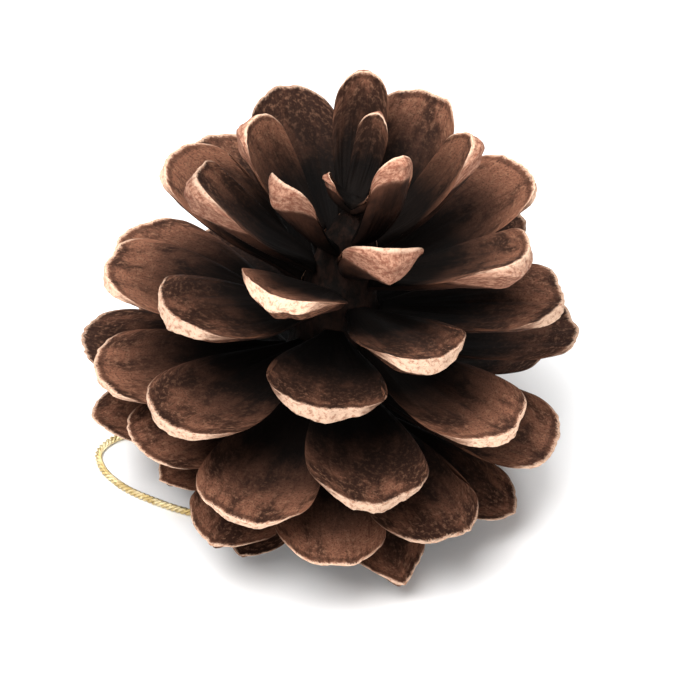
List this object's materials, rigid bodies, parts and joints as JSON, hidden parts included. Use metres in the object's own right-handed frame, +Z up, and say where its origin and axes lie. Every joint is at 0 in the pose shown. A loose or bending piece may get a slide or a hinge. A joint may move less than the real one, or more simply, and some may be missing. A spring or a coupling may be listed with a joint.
{
  "type": "pine cone",
  "caption": "Small open pine cone with woody scales spiralling round its axis, standing on its base, with a fine gold hanging cord looped from the base.",
  "frame": {"origin": "centre of the stalk's flat cut foot, on the surface that the cone stands on", "axes": "+Z up from the surface; the cone leans 8 degrees towards +X, and -Y is its front"},
  "size_m": [0.0519, 0.0518, 0.0472],
  "materials": {
    "scale_wood": "dry matt reddish-brown scales with a pale tan rim",
    "axis_wood": "dark rough bark-like wood, paler where the stalk is cut",
    "weathered_wood": "greyish-tan weathered scale points",
    "gold_cord": "thin twisted cord of metallic gold thread"
  },
  "bodies": {
    "root": {"apex_scales": "scale_wood", "axis_with_stalk": "axis_wood", "basal_scales": "weathered_wood", "hanging_cord": "gold_cord", "scale_01": "scale_wood", "scale_02": "scale_wood", "scale_03": "scale_wood", "scale_04": "scale_wood", "scale_05": "scale_wood", "scale_06": "scale_wood", "scale_07": "scale_wood", "scale_08": "scale_wood", "scale_09": "scale_wood", "scale_10": "scale_wood", "scale_11": "scale_wood", "scale_12": "scale_wood", "scale_13": "scale_wood", "scale_14": "scale_wood", "scale_15": "scale_wood", "scale_16": "scale_wood", "scale_17": "scale_wood", "scale_18": "scale_wood", "scale_19": "scale_wood", "scale_20": "scale_wood", "scale_21": "scale_wood", "scale_22": "scale_wood", "scale_23": "scale_wood", "scale_24": "scale_wood", "scale_25": "scale_wood", "scale_26": "scale_wood", "scale_27": "scale_wood", "scale_28": "scale_wood", "scale_29": "scale_wood", "scale_30": "scale_wood", "scale_31": "scale_wood", "scale_32": "scale_wood", "scale_33": "scale_wood", "scale_34": "scale_wood", "scale_35": "scale_wood", "scale_36": "scale_wood", "scale_37": "scale_wood", "scale_38": "scale_wood", "scale_39": "scale_wood", "scale_40": "scale_wood", "scale_41": "scale_wood", "scale_42": "scale_wood", "scale_43": "scale_wood", "scale_44": "scale_wood", "scale_45": "scale_wood", "scale_46": "scale_wood", "scale_47": "scale_wood", "scale_48": "scale_wood", "scale_49": "scale_wood", "scale_50": "scale_wood", "scale_51": "scale_wood", "scale_52": "scale_wood", "scale_53": "scale_wood", "scale_54": "scale_wood", "scale_55": "scale_wood"}
  },
  "joints": []
}
